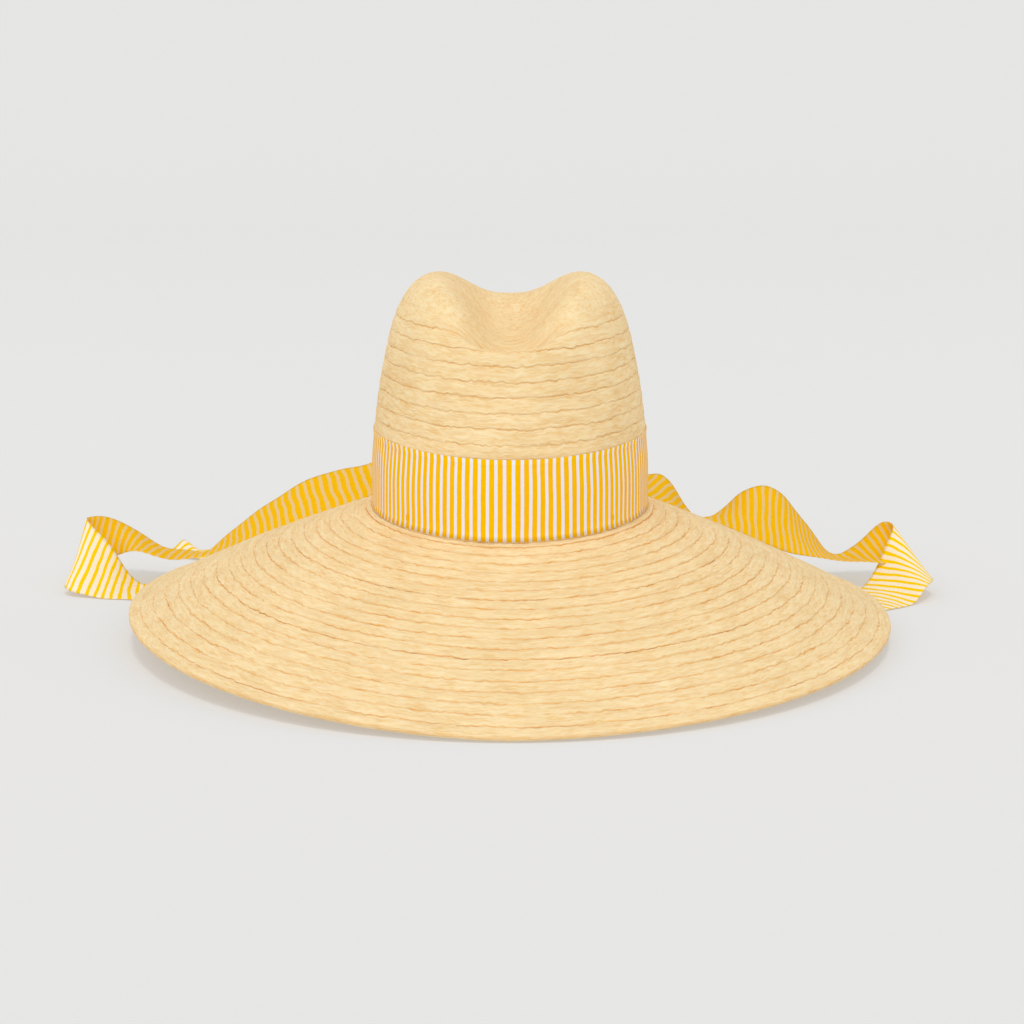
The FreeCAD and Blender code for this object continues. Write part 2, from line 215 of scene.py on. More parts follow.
# ---- meshes ----
def new_object(name, vertices, faces, attributes=None, uvs=None):
    mesh = bpy.data.meshes.new(name)
    mesh.from_pydata(vertices, [], faces)
    for key, values in (attributes or {}).items():
        layer = mesh.attributes.new(key, "FLOAT", "POINT")
        layer.data.foreach_set("value", np.asarray(values, np.float32).ravel())
    if uvs is not None:
        layer = mesh.uv_layers.new(name="weave")
        layer.data.foreach_set("uv", np.asarray(uvs, np.float32).ravel())
    mesh.polygons.foreach_set("use_smooth", np.ones(len(mesh.polygons), bool))
    mesh.update()
    piece = bpy.data.objects.new(name, mesh)
    bpy.context.scene.collection.objects.link(piece)
    return piece


def enter(piece, node=None):
    """Enters a piece in the frame: its body, and the CAD node that it replaces."""
    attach(piece, "root")
    if node:
        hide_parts(node)


def ring_faces(rings, around, close):
    """Quads between successive rings; close joins the last ring to the first."""
    count = rings if close else rings - 1
    ring = np.arange(count)[:, None]
    step = np.arange(around)[None, :]
    following = (ring + 1) % rings
    beside = (step + 1) % around
    a = ring * around + step
    b = ring * around + beside
    c = following * around + beside
    d = following * around + step
    return np.stack([a, b, c, d], -1).reshape(-1, 4)


def ring_piece(name, rings, attributes):
    """Closed shell through rings of points, the last ring joined to the first."""
    faces = ring_faces(*rings.shape[:2], True)[:, ::-1]
    return new_object(name, rings.reshape(-1, 3).tolist(), faces.tolist(), attributes)


# ---- straw braid ----
ROW_SAMPLES = np.array([0.0, 0.03, 0.07, 0.14, 0.24, 0.36, 0.5, 0.64, 0.78, 0.9, 0.965])
UNDER_SAMPLES = np.array([0.0, 0.08, 0.4, 0.8])
LIP = 0.40 * MM  # how far a row's outer edge stands above the row it covers
GROOVE = 0.32 * MM  # depth of the crease under that edge
SWELL = 0.2 * MM  # rise of a row's middle
STRAND = 0.2 * MM  # relief of the plaited strands
EDGE_WANDER = 0.055  # how far a row's edge wanders, in rows
SCALLOP = 0.07  # depth of the scallops along a row's edge, in rows
SCALLOP_LENGTH = 6.5 * MM
CROWN_STRENGTH = 0.72  # relief of the blocked crown, as a share of the brim's
INNER_STRENGTH = 0.6  # relief of every inner side
INNER_SEED = 90  # added to a piece's seed on its inner side
SEAM_LAP, SEAM_DROP = 0.9 * MM, 0.5 * MM  # how far a piece runs in under the one before it
SEAM_RING = 4  # ring that the direction of that lap is taken from
SEAM_STRONG = 1.6  # extra crease along a strong edge, such as the brim's first one
JOIN_LAP = 1.2 * MM  # how far the brim's first row runs in under the crown's wall
TIP_LEVEL, TIP_SAG, TIP_BLEND = 208.0 * MM, 19.0 * MM, 9.0 * MM  # where the braid turns smooth
DENT_SMOOTH = 1.25  # width of the dent's smooth part, in dent widths
DENT_REAR = 90.0 * MM  # how far back the dent's smooth part reaches
WALL_LIMIT = 0.997  # squared share of the head's oval: what lies inside is wall, not brim
PRESSED_FADE = 2.0 * MM  # height over which the braid turns smooth under the band


def row_places(first, last, samples):
    rows = np.arange(first, last)
    places = (rows[:, None] + samples[None, :]).ravel()
    return np.append(places, float(last))


def girth(surface_at, row):
    """Length once round the surface at a row."""
    angle = np.linspace(0, math.tau, 181)[None, :] + np.zeros((2, 1))
    places = row + np.array([[0.0], [0.01]]) + 0 * angle
    line = surface_at(places, angle)[0]
    return np.linalg.norm(np.diff(line, axis=0), axis=-1).sum()


def edge_line(length, turn, key):
    """One row's edge: how far it wanders, in rows, and how deep the crease is along it."""
    level = np.zeros_like(turn)

    def noise(cell, offset):
        return ring_noise(turn, level, length / cell, key + offset)

    count = max(int(length / SCALLOP_LENGTH), 4)
    phase = turn * count + 0.9 * noise(15 * MM, 5) + 0.35 * noise(6 * MM, 6)
    scallop = np.abs(np.sin(math.pi * phase)) - 0.64
    path = EDGE_WANDER * (0.8 * noise(14 * MM, 0) + 0.7 * noise(4.5 * MM, 9) + 0.9 * noise(2.4 * MM, 2))
    path += SCALLOP * scallop * (0.55 + 0.45 * noise(30 * MM, 7))
    strong = 0.75 + 0.3 * noise(24 * MM, 3) + 0.35 * noise(8 * MM, 8)
    strong += 1.4 * clamp(noise(4 * MM, 4) - 0.45)
    return path, np.clip(strong, 0.0, 1.6)


def row_relief(length, turn, v, key):
    """Plaited strands in one row: short raised lengths that lean opposite ways in its two halves."""
    u = turn[None, :] + 0 * v
    lean = (2.2 * MM / length) * np.abs(2 * v - 1)
    bend = ring_noise(u, 0 * u, length / (14 * MM), key)
    strands = ring_noise(u + lean, np.clip(5.0 * v + 1.0 + 0.8 * bend, 0, 8), length / (6 * MM), key + 1)
    strands += 0.7 * ring_noise(u - lean, np.clip(8.0 * v + 1.0 + 1.2 * bend, 0, 12),
                                length / (3.4 * MM), key + 2)
    pads = ring_noise(u, 1.5 * v + 1.0, length / (17 * MM), key + 3)
    return strands, pads


def braid_relief(surface_at, places, turn, seed, strong_edge):
    """Wandering, height and painted crease shade of lapped rows, for each place and turn."""
    height = np.zeros((len(places), len(turn)))
    wander = np.zeros_like(height)
    crease = np.zeros_like(height)
    first, last = int(places[0]), int(math.ceil(places[-1]))
    edges = {edge: edge_line(girth(surface_at, edge), turn, seed + edge * 11)
             for edge in range(first, last + 1)}
    row_of = np.minimum(np.floor(places + 1e-6).astype(int), last - 1)
    for row in range(first, last):
        chosen = np.where(row_of == row)[0]
        v = clamp(places[chosen] - row)[:, None]
        upper_path, upper_strong = edges[row]
        lower_path, lower_strong = edges[row + 1]
        if row == strong_edge:
            upper_strong = upper_strong + SEAM_STRONG
        if row + 1 == strong_edge:
            lower_strong = lower_strong + SEAM_STRONG
        wander[chosen] = upper_path * (1 - v) + lower_path * v
        strands, pads = row_relief(girth(surface_at, row + 0.5), turn, v, seed + row * 17 + 5000)
        window = clamp(np.minimum(v / 0.1, (1.0 - v) / 0.07))
        under_lip = np.exp(-(v / 0.045) ** 2) * upper_strong
        over_lip = np.exp(-((1.0 - v) / 0.03) ** 2) * lower_strong
        relief = LIP * (v - 0.5) + SWELL * np.sin(math.pi * v)
        relief = relief + window * (STRAND * strands + 0.16 * MM * pads)
        height[chosen] = relief - GROOVE * under_lip - 0.2 * GROOVE * over_lip
        # crease is a mask of painted shade: under each row's lip, along its lower edge and in the hollows
        # between strands
        crease[chosen] = np.clip(under_lip + 0.6 * over_lip, 0.0, 1.6)
        crease[chosen] += 0.6 * clamp(-strands - 0.7) * window
    return wander, height, crease


def braid_rings(surface_at, places, turn, seed, outward, strength=1.0, strong_edge=-1):
    """Rings of points of a braided surface, with its row numbers, painted crease shade and smoothness."""
    grid_place, grid_angle = grid(places, turn * math.tau)
    plain = surface_at(grid_place, grid_angle)
    wander, height, crease = braid_relief(surface_at, places, turn, seed, strong_edge)
    calm = strength * (1.0 - smoothness(plain))
    moved = surface_at(grid_place + wander * (calm > 0.02), grid_angle)
    points = moved + normals(plain, outward) * (height * calm)[..., None]
    return points, grid_place, crease * calm, smoothness(plain)


def smoothness(points):
    """How far the braid is pressed smooth: 1 in the dent, on the tip and under the band."""
    x, z = points[..., 0], points[..., 2]
    dented = np.exp(-(x / (DENT_SMOOTH * DENT_WIDTH)) ** 2) * (points[..., 1] < DENT_REAR)
    level = TIP_LEVEL - TIP_SAG * dented
    pressed = clamp((z - level) / TIP_BLEND + 0.5)
    on_wall = (x / HEAD_X) ** 2 + (points[..., 1] / HEAD_Y) ** 2 < WALL_LIMIT
    under_band = on_wall * clamp((BAND_TOP - z) / PRESSED_FADE)
    return np.maximum(pressed, under_band)


def lapped(rings):
    """Carries a piece's first ring in under the row that the piece before it ends with."""
    rings[0] += unit(rings[0] - rings[SEAM_RING]) * SEAM_LAP
    rings[0, :, 2] -= SEAM_DROP
    return rings


def both_sides(surface_at, outer_places, inner_places, turn, seed, strength, strong_edge=-1):
    """Rings of a braided surface and of its inner side, one thickness of straw further in."""
    def inside(place, angle):
        points = surface_at(place, angle)
        return points - normals(points, -1) * STRAW

    outer = braid_rings(surface_at, outer_places, turn, seed, -1, strength, strong_edge)
    inner = braid_rings(inside, inner_places, turn, seed + INNER_SEED, 1, INNER_STRENGTH)
    return outer, inner


def closed_loop(outer, inner):
    """Both sides in one run, out along the first and back along the second."""
    return (np.concatenate([top, below[::-1]]) for top, below in zip(outer, inner))


def make_shell(name, surface_at, first, last, around, seed, strength=1.0, strong_edge=-1):
    """Braid from row first to row last, with its inner side."""
    outer, inner = both_sides(surface_at, row_places(first, last, ROW_SAMPLES),
                              row_places(first, last, UNDER_SAMPLES), np.arange(around) / around,
                              seed, strength, strong_edge)
    if first > 0:
        lapped(outer[0])
    rings, rows, crease, smooth = closed_loop(outer, inner)
    return ring_piece(name, rings, {"row": rows, "crease": crease, "smooth": smooth})


def crown_rows(around):
    """Places of the crown's rows: equal widths of braid up the wall, ovals on the tip."""
    angle = np.arange(around) / around * math.tau
    place = np.linspace(0, 1, 400)
    points = crown_surface(*grid(place, angle))
    steps = np.linalg.norm(np.diff(points, axis=0), axis=-1)
    climbed = np.concatenate([np.zeros((1, around)), np.cumsum(steps, axis=0)])
    mean = climbed.mean(axis=1, keepdims=True)
    mix = clamp((place - 0.5) / 0.35)[:, None]
    mix = mix * mix * (3 - 2 * mix)
    blended = climbed * (1 - mix) + mean * mix
    rows = np.where(blended < CROWN_FIRST_ROW, blended / CROWN_FIRST_ROW,
                    1.0 + (blended - CROWN_FIRST_ROW) / ROW_PITCH)
    return place, rows


CROWN_AROUND, CROWN_SEED = 640, 100
SIDE_ROWS = 12  # rows of the crown's side piece; the rest are its tip
TIP_FIRST_RING, TIP_FIRST_INNER = 3, 2  # rings left out at its middle, outside and inside
CROWN_PLACE, CROWN_ROW = crown_rows(CROWN_AROUND)
CROWN_ANGLES = CROWN_AROUND / math.tau
CROWN_TOP_ROW = int(CROWN_ROW[-1].mean())
TIP_ROWS = CROWN_TOP_ROW - SIDE_ROWS


def crown_by_row(row, angle):
    """Crown surface addressed by row number, counted down from the middle of the tip."""
    row = CROWN_TOP_ROW - (row + 0 * angle)
    place = np.empty_like(row)
    for column in range(row.shape[1]):
        nearest = int(round(float(angle[0, column]) * CROWN_ANGLES)) % CROWN_AROUND
        place[:, column] = np.interp(row[:, column], CROWN_ROW[:, nearest], CROWN_PLACE)
    return crown_surface(place, angle)


def make_crown():
    side = make_shell("crown_side_braid", crown_by_row, TIP_ROWS, CROWN_TOP_ROW, CROWN_AROUND,
                      CROWN_SEED, CROWN_STRENGTH)
    tip = make_tip()
    enter(side, "crown_side")
    enter(tip, "crown_tip")
    return [side, tip]


def make_tip():
    """Tip of the crown: rings from its middle outwards, closed by a point on each side."""
    outer, inner = both_sides(crown_by_row, row_places(0, TIP_ROWS, ROW_SAMPLES)[TIP_FIRST_RING:],
                              row_places(0, TIP_ROWS, UNDER_SAMPLES)[TIP_FIRST_INNER:],
                              np.arange(CROWN_AROUND) / CROWN_AROUND, CROWN_SEED, CROWN_STRENGTH)
    rings, rows, crease, smooth = closed_loop(outer, inner)
    count, around = rings.shape[:2]
    vertices = rings.reshape(-1, 3).tolist()
    top = len(vertices)
    vertices.append(outer[0][0].mean(axis=0).tolist())
    vertices.append(inner[0][0].mean(axis=0).tolist())
    faces = ring_faces(count, around, False)[:, ::-1].tolist()
    for step in range(around):
        beside = (step + 1) % around
        faces.append([top, step, beside])
        faces.append([top + 1, (count - 1) * around + beside, (count - 1) * around + step])
    values = {"row": np.append(rows, [0.0, 0.0]), "crease": np.append(crease, [0.0, 0.0]),
              "smooth": np.append(smooth, [1.0, 1.0])}
    return new_object("crown_tip_braid", vertices, faces, values)


# Pieces of the brim: name, CAD node, first and last row, points round a ring.
BRIM_PARTS = (("brim_braid_inner", "brim", 0, 7, 760), ("brim_braid_middle", None, 7, 13, 980),
              ("brim_braid_outer", None, 13, BRIM_ROWS, 1060))
BRIM_SEED = 400
BRIM_ROW_SHARE = 1.0 / (BRIM_ROWS + BRIM_FIRST_ROW)
JOIN_ROWS = 0.3  # part of the first row over which it runs in under the wall
EDGE_AROUND, EDGE_STRENGTH = 1060, 0.7
EDGE_TRIM = 3  # rings of the last row that the fold takes the place of
FOLD_ROOM = 1.4 * MM  # room for the wire inside the fold
WIRE_RISE, WIRE_RISE_ROWS = 0.75 * MM, 0.4  # lift of the leaf over the wire, and the rows it takes
FOLD_ANGLES, FOLD_STEPS = (75, -90), 9  # degrees above the level, from the top round to below
FOLD_BUMPS, FOLD_CELLS = 0.07, 260
LEAF_INSETS = (4.0, 7.0, 9.5)  # millimetres in from the edge
LEAF_GAP, LEAF_BUMPS = 0.8, 0.15  # millimetres


def brim_by_row(row, angle):
    """Brim surface addressed by row number, 0 at the head line."""
    share = np.where(row < 1.0, row * BRIM_FIRST_ROW, row - 1.0 + BRIM_FIRST_ROW) * BRIM_ROW_SHARE
    lap = JOIN_LAP / (BRIM_X - HEAD_X) * clamp(1.0 - row / JOIN_ROWS)
    return brim_surface(share - lap, angle)


def make_brim():
    pieces = []
    for name, node, first, last, around in BRIM_PARTS:
        pieces.append(make_shell(name, brim_by_row, first, last, around, BRIM_SEED, strong_edge=1))
        enter(pieces[-1], node)
    pieces.append(make_edge_row())
    enter(pieces[-1], "brim_edge_row")
    return pieces


def make_edge_row():
    """Last row, folded round the wire: braid on top, a rounded edge and the turned-under leaf."""
    turn = np.arange(EDGE_AROUND) / EDGE_AROUND
    places = row_places(BRIM_ROWS, BRIM_ROWS + 1, ROW_SAMPLES)[:-EDGE_TRIM]
    top, top_rows, top_crease, _ = braid_rings(brim_by_row, places, turn, BRIM_SEED, -1, EDGE_STRENGTH)
    top = lapped(top)
    top[..., 2] += WIRE_RISE * clamp((places - BRIM_ROWS) / WIRE_RISE_ROWS)[:, None]
    angle = (turn * math.tau)[None, :]
    edge = brim_surface(np.ones_like(angle), angle)[0]
    near = brim_surface(np.full_like(angle, 0.97), angle)[0]
    outward = unit(edge - near)
    up = normals(np.stack([near, edge]), -1)[0]
    radius = (STRAW + FOLD_ROOM) / 2
    centre = edge - outward * radius - up * (STRAW / 2 - 0.2 * MM)
    level = np.zeros_like(turn)
    fold = []
    for step, bend in enumerate(np.radians(np.linspace(*FOLD_ANGLES, FOLD_STEPS))):
        bumps = 1.0 + FOLD_BUMPS * ring_noise(turn, level, FOLD_CELLS, 70 + step)[:, None]
        fold.append(centre + (outward * math.cos(bend) + up * math.sin(bend)) * radius * bumps)
    under = []
    for inset in LEAF_INSETS:
        bumps = LEAF_BUMPS * ring_noise(turn, level, FOLD_CELLS, int(inset * 10))[:, None]
        under.append(edge - outward * inset * MM - up * (STRAW + (LEAF_GAP + bumps) * MM))
    under.append(edge - outward * 9.6 * MM - up * STRAW)
    under.append(edge - outward * 9.2 * MM - up * 0.6 * MM)
    rest = np.stack(fold + under)
    rings = np.concatenate([top, rest])
    rest_rows = np.linspace(BRIM_ROWS + 0.95, BRIM_ROWS + 2.0, len(rest))[:, None] + 0 * rest[..., 0]
    rows = np.concatenate([top_rows, rest_rows])
    fold_seam_shade = np.zeros_like(rest_rows)
    # Painted shade along the join of the top braid and the fold.
    fold_seam_shade[1:4] = 0.35
    crease = np.concatenate([top_crease, fold_seam_shade])
    return ring_piece("brim_edge_fold", rings, {"row": rows, "crease": crease, "smooth": 0 * rows})


# ---- ribbon ----
# Upper and lower selvedge of each tail, from the knot to the cut end, in millimetres.
TAIL_LEFT = [
    (-14, 110, 113, -14, 112, 84), (-50, 119, 104, -46, 106, 72), (-96, 125, 82, -88, 84, 68),
    (-116, 128, 77, -108, 85, 62), (-131, 128, 72.5, -122, 85, 57), (-146, 128, 65.5, -135, 85, 52),
    (-162, 130, 55, -149, 87, 46), (-178, 133, 42.5, -162, 90, 40), (-189.5, 137, 33.5, -175, 94, 34.5),
    (-202, 142, 22, -190, 97, 28), (-210, 148, 16.5, -203, 101, 24), (-222, 150, 16.7, -219, 103, 21.4),
    (-234, 150, 18.2, -231, 103, 22), (-243.5, 150, 22.7, -243.5, 106, 24.3),
    (-256.5, 152, 30.4, -254.5, 112, 24.9), (-268, 152, 37, -265.5, 121, 20.3),
    (-276.5, 149, 40.5, -277, 115, 15.5), (-284, 140, 43, -287, 106, 11.5),
    (-286, 127, 43.5, -297, 95, 6.2), (-280.5, 118, 39.5, -294, 86, 4.5),
    (-272, 115, 32.5, -287, 82, 3), (-264.5, 113.5, 22, -279, 80, 1.5), (-257.5, 114, 10, -268, 76, 1),
    (-248.5, 113.5, 1.8, -255, 74, 1), (-240, 115, 1.5, -236, 70, 1), (-231, 121, 1.5, -210, 77, 1.2),
    (-222, 130, 1.6, -186, 98, 1.3), (-216, 142, 1.8, -171, 124, 1.5), (-210, 156, 1.4, -162, 151, 1.4),
    (-208, 169, 1.4, -160, 175, 1.4), (-209, 180, 1.4, -163, 194, 1.4),
    (-217, 191, 1.6, -172, 209, 1.5), (-231, 199, 2.8, -187, 219, 2), (-243, 212, 3, -203, 233, 2),
]
TAIL_RIGHT = [
    (14, 110, 113, 14, 112, 84), (50, 117, 102, 46, 106, 73), (74, 119, 86, 64, 88, 73),
    (92, 118, 76, 80, 79, 71.5), (99, 118, 77, 87, 77, 70.5), (106, 120, 72, 94, 78, 67.5),
    (112, 123, 63.8, 101, 81, 64), (117, 126, 55, 107, 84, 61), (123.5, 130, 46, 113, 89, 57),
    (129.5, 131, 42, 119, 91, 54.5), (136, 130, 45, 124, 89, 53), (142, 129, 49.5, 131, 86, 51),
    (148.5, 127, 54.8, 139, 84, 48.5), (153.6, 126, 60, 146, 84, 46), (161, 124, 65, 154, 84, 43),
    (169.6, 124, 67.7, 163, 87, 37.2), (177.6, 126, 65.3, 172, 90, 32.8),
    (185.4, 130, 59, 181, 92, 29.2), (193, 136, 49.5, 190, 95, 26.5),
    (201.3, 142, 37.9, 200.6, 98, 24.2), (211.6, 148, 24, 211, 102, 22.3),
    (218.7, 151, 16.3, 219.5, 104, 20), (224.6, 152, 14, 227.7, 105, 18.5),
    (229.4, 153, 14.5, 237.3, 106, 18.5), (236.2, 153, 18.7, 246, 107, 18.4),
    (242.6, 152, 24.6, 253.6, 108, 17.5), (249, 150, 32, 262, 110, 15.5),
    (255.5, 146, 38, 270, 109, 14), (260, 136, 39, 276.5, 102, 12), (258.5, 125, 35, 281, 93, 10.9),
    (254, 119, 28, 280, 84, 11), (249, 114, 19, 276, 76, 10.5), (244, 108, 11, 271.5, 68, 7.7),
    (238, 101, 4.5, 264, 60, 1.8), (229, 92, 1.6, 252, 50, 1), (215, 82, 1.2, 236, 39, 1),
    (196, 75, 1.2, 212, 30, 1),
]
# How far the stripes lag on the lower selvedge, at shares of a tail's length, in millimetres.
LEFT_LAG = ((0.0, 9), (0.5, 9), (0.62, 5), (1.0, 5))
RIGHT_LAG = ((0.0, 14), (0.5, 14), (0.62, 26), (0.72, 36), (0.82, 50), (1.0, 50))
TAIL_STEP = 1.6 * MM
TAIL_ACROSS = 17
TAIL_SEED = 30
LEFT_GATHERED = 0.66  # share of the left tail's length at which its flat turn begins
END_ROLL = 8.0 * MM  # height of the roll at the left tail's cut end
ROLL_LENGTH = 14.0 * MM  # length over which the roll dies out
ROLL_PLACE, ROLL_WIDTH = 0.24, 0.15  # where it is, as shares of the ribbon's width
CUP = 0.9 * MM  # how far a tail's middle stands off its selvedges
GATHER, GATHER_FADE, GATHERS = 2.4 * MM, 28.0 * MM, 6  # pleats where a tail leaves the knot
RIPPLE, RIPPLE_LONG, RIPPLE_SHORT = 0.3 * MM, 9.0 * MM, 5.3 * MM
CALM_LENGTH = 20.0 * MM  # length over which cup and ripple begin
TAIL_FLOOR = 0.6 * MM  # least height of a tail's middle surface


def spline(points, places, wanted):
    """Smooth curve through points at places, read at the wanted places."""
    slopes = np.empty_like(points)
    slopes[1:-1] = (points[2:] - points[:-2]) / (places[2:] - places[:-2])[:, None]
    slopes[0] = (points[1] - points[0]) / (places[1] - places[0])
    slopes[-1] = (points[-1] - points[-2]) / (places[-1] - places[-2])
    index = np.clip(np.searchsorted(places, wanted, side="right") - 1, 0, len(places) - 2)
    gap = (places[index + 1] - places[index])[:, None]
    t = ((wanted - places[index]) / gap[:, 0])[:, None]
    h00 = 2 * t ** 3 - 3 * t ** 2 + 1
    h10 = t ** 3 - 2 * t ** 2 + t
    h01 = -2 * t ** 3 + 3 * t ** 2
    h11 = t ** 3 - t ** 2
    return (h00 * points[index] + h10 * gap * slopes[index]
            + h01 * points[index + 1] + h11 * gap * slopes[index + 1])


def smoothed(line, passes=6):
    """A line of points with small kinks taken out, its ends kept."""
    for _ in range(passes):
        inner = 0.25 * line[:-2] + 0.5 * line[1:-1] + 0.25 * line[2:]
        line = np.concatenate([line[:1], inner, line[-1:]])
    return line


def run_length(line):
    return np.concatenate([[0.0], np.cumsum(np.linalg.norm(np.diff(line, axis=0), axis=-1))])


def make_tail(name, stations, lag, gathered, roll, mirrored, seed):
    """Ribbon tail through its selvedge points. From the gathered share of its length on, it turns
    flat on the floor with its inner selvedge gathered. A mirrored tail keeps its side in front."""
    stations = np.array(stations, float).reshape(-1, 2, 3) * MM
    places = run_length(stations.mean(axis=1))
    wanted = np.arange(0.0, places[-1], TAIL_STEP)
    first = smoothed(spline(stations[:, 0], places, wanted))
    second = smoothed(spline(stations[:, 1], places, wanted))
    across = np.linspace(0, 1, TAIL_ACROSS)[None, :, None]
    sheet = first[:, None, :] * (1 - across) + second[:, None, :] * across
    normal = unit(np.cross(np.gradient(sheet, axis=0), np.gradient(sheet, axis=1)))
    share = across[..., 0]
    along = wanted[:, None]
    generator = np.random.default_rng(seed)
    cup = CUP * np.sin(math.pi * share)
    gather = GATHER * np.exp(-along / GATHER_FADE) * np.sin(GATHERS * math.pi * share)
    phases = generator.uniform(0, 6.28, 4)
    ripple = RIPPLE * (np.sin(along / RIPPLE_LONG + 3 * share + phases[0])
                       + np.sin(along / RIPPLE_SHORT - 5 * share + phases[1]))
    calm = clamp(along / CALM_LENGTH)
    sheet = sheet + normal * ((cup + ripple) * calm + gather)[..., None]
    rolled = np.exp(-((share - ROLL_PLACE) / ROLL_WIDTH) ** 2)
    sheet[..., 2] += roll * np.exp(-(wanted[-1] - along) / ROLL_LENGTH) * rolled
    sheet[..., 2] = np.maximum(sheet[..., 2], TAIL_FLOOR)
    shares, lags = np.array(lag).T
    late = np.interp(wanted / wanted[-1], shares, lags) * MM
    lead = run_length(second) - run_length(first)
    lead = np.where(wanted < gathered * wanted[-1], lead, lead[int(gathered * (len(wanted) - 1))])
    middle = (run_length(first) + run_length(second)) / 2
    lengths = middle[:, None] + (share - 0.5) * lead[:, None] + share * late[:, None]
    widths = share * BAND_WIDTH
    if mirrored:
        sheet, normal, lengths, widths = (grid[:, ::-1] for grid in (sheet, -normal, lengths, widths))
    return thick_sheet(name, sheet, normal, lengths, widths), float(lengths[-1].mean())


def thick_sheet(name, sheet, normal, along, across, thickness=RIBBON):
    """Closed thin mesh from a grid of points. Its UV map holds the cloth's own lengths in
    metres, and the reverse face is one metre further across, so that a material can tell it."""
    rows, columns = sheet.shape[:2]
    along, across = (np.broadcast_to(lengths, (rows, columns)) for lengths in (along, across))
    front = sheet + normal * thickness / 2
    back = sheet - normal * thickness / 2
    vertices = np.concatenate([front.reshape(-1, 3), back.reshape(-1, 3)])
    base = rows * columns
    faces = []
    for row in range(rows - 1):
        for column in range(columns - 1):
            a = row * columns + column
            faces.append([a, a + columns, a + columns + 1, a + 1])
            faces.append([base + a, base + a + 1, base + a + columns + 1, base + a + columns])
    border = list(range(columns))
    border += [row * columns + columns - 1 for row in range(1, rows)]
    border += [(rows - 1) * columns + column for column in range(columns - 2, -1, -1)]
    border += [row * columns for row in range(rows - 2, 0, -1)]
    for here, following in zip(border, border[1:] + border[:1]):
        faces.append([here, following, base + following, base + here])
    flat = np.stack([along, across], -1).reshape(-1, 2)
    flat = np.concatenate([flat, flat + [0.0, REVERSE]])
    uvs = flat[np.array([corner for face in faces for corner in face])]
    return new_object(name, vertices.tolist(), faces, uvs=uvs)


def make_tails():
    pieces = []
    for name, node, *shape in (
            ("ribbon_tail_left_cloth", "ribbon_tail_left",
             TAIL_LEFT, LEFT_LAG, LEFT_GATHERED, END_ROLL, False),
            ("ribbon_tail_right_cloth", "ribbon_tail_right",
             TAIL_RIGHT, RIGHT_LAG, 1.0, 0.0, True)):
        piece, length = make_tail(name, *shape, TAIL_SEED + len(pieces))
        enter(piece, node)
        pieces.append(piece)
    return pieces


BAND_AROUND = 720
BAND_ACROSS = 15
BAND_REACH, BAND_PLACES = 0.62, 300  # part of the crown's outline that is looked at
BAND_STAND = 0.5 * MM  # the ribbon's middle surface stands this far off the straw
BAND_SLACK, SLACK_CELLS = 0.15 * MM, 22
BAND_EASE = 0.1 * MM  # how far its selvedges stand further off
STRIPE_LEAN, LEAN_CELLS = 0.5 * MM, 30


def make_band():
    """Ribbon drawn round the foot of the crown, its join under the knot at the back."""
    angle = math.pi / 2 + np.arange(BAND_AROUND + 1) / BAND_AROUND * math.tau
    share = np.linspace(0, 1, BAND_ACROSS)
    wall = crown_surface(*grid(np.linspace(0, BAND_REACH, BAND_PLACES), angle))
    foot = wall[0, :, 2] + BAND_FOOT
    sheet = np.empty((BAND_AROUND + 1, BAND_ACROSS, 3))
    for column in range(BAND_AROUND + 1):
        heights = foot[column] + share * BAND_WIDTH
        for axis in range(3):
            sheet[column, :, axis] = np.interp(heights, wall[:, column, 2], wall[:, column, axis])
    normal = np.broadcast_to(head_outward(angle)[:, None, :], sheet.shape)
    turn = np.mod(angle / math.tau, 1.0)
    slack = BAND_SLACK * ring_noise(*grid(turn, 2 * share), SLACK_CELLS, 900)
    edge_ease = BAND_EASE * (np.abs(2 * share - 1) ** 6)[None, :]
    sheet = sheet + normal * (BAND_STAND + slack + edge_ease)[..., None]
    along = run_length(sheet[:, 0])
    lean = STRIPE_LEAN * ring_noise(turn, np.zeros_like(turn), LEAN_CELLS, 901)
    piece = thick_sheet("hat_band_cloth", sheet, normal, (along + lean)[:, None],
                        share[None, :] * BAND_WIDTH)
    enter(piece, "hat_band")
    return piece


# ---- knot ----
KNOT_ALONG, KNOT_ROUND = 64, 72
KNOT_WRAP = 8.5 * MM  # half width of the turn that wraps the knot
WRAP_ROUND = 12.0 * MM  # radius that the wrapping turn's length is counted at
WRAP_EDGE, WRAP_BULGE = 0.45 * MM, 0.16
# Shares of the knot's half depth and height: the pleats' foot, their flare, and both reliefs.
PLEAT_BASE, PLEAT_FLARE, PLEAT_RELIEF, WRAP_RELIEF = 0.62, 0.3, 0.075, 0.045
PLEATS = 7
KNOT_SINK = 0.3 * MM  # how far the knot's flat side may stand past the CAD's box


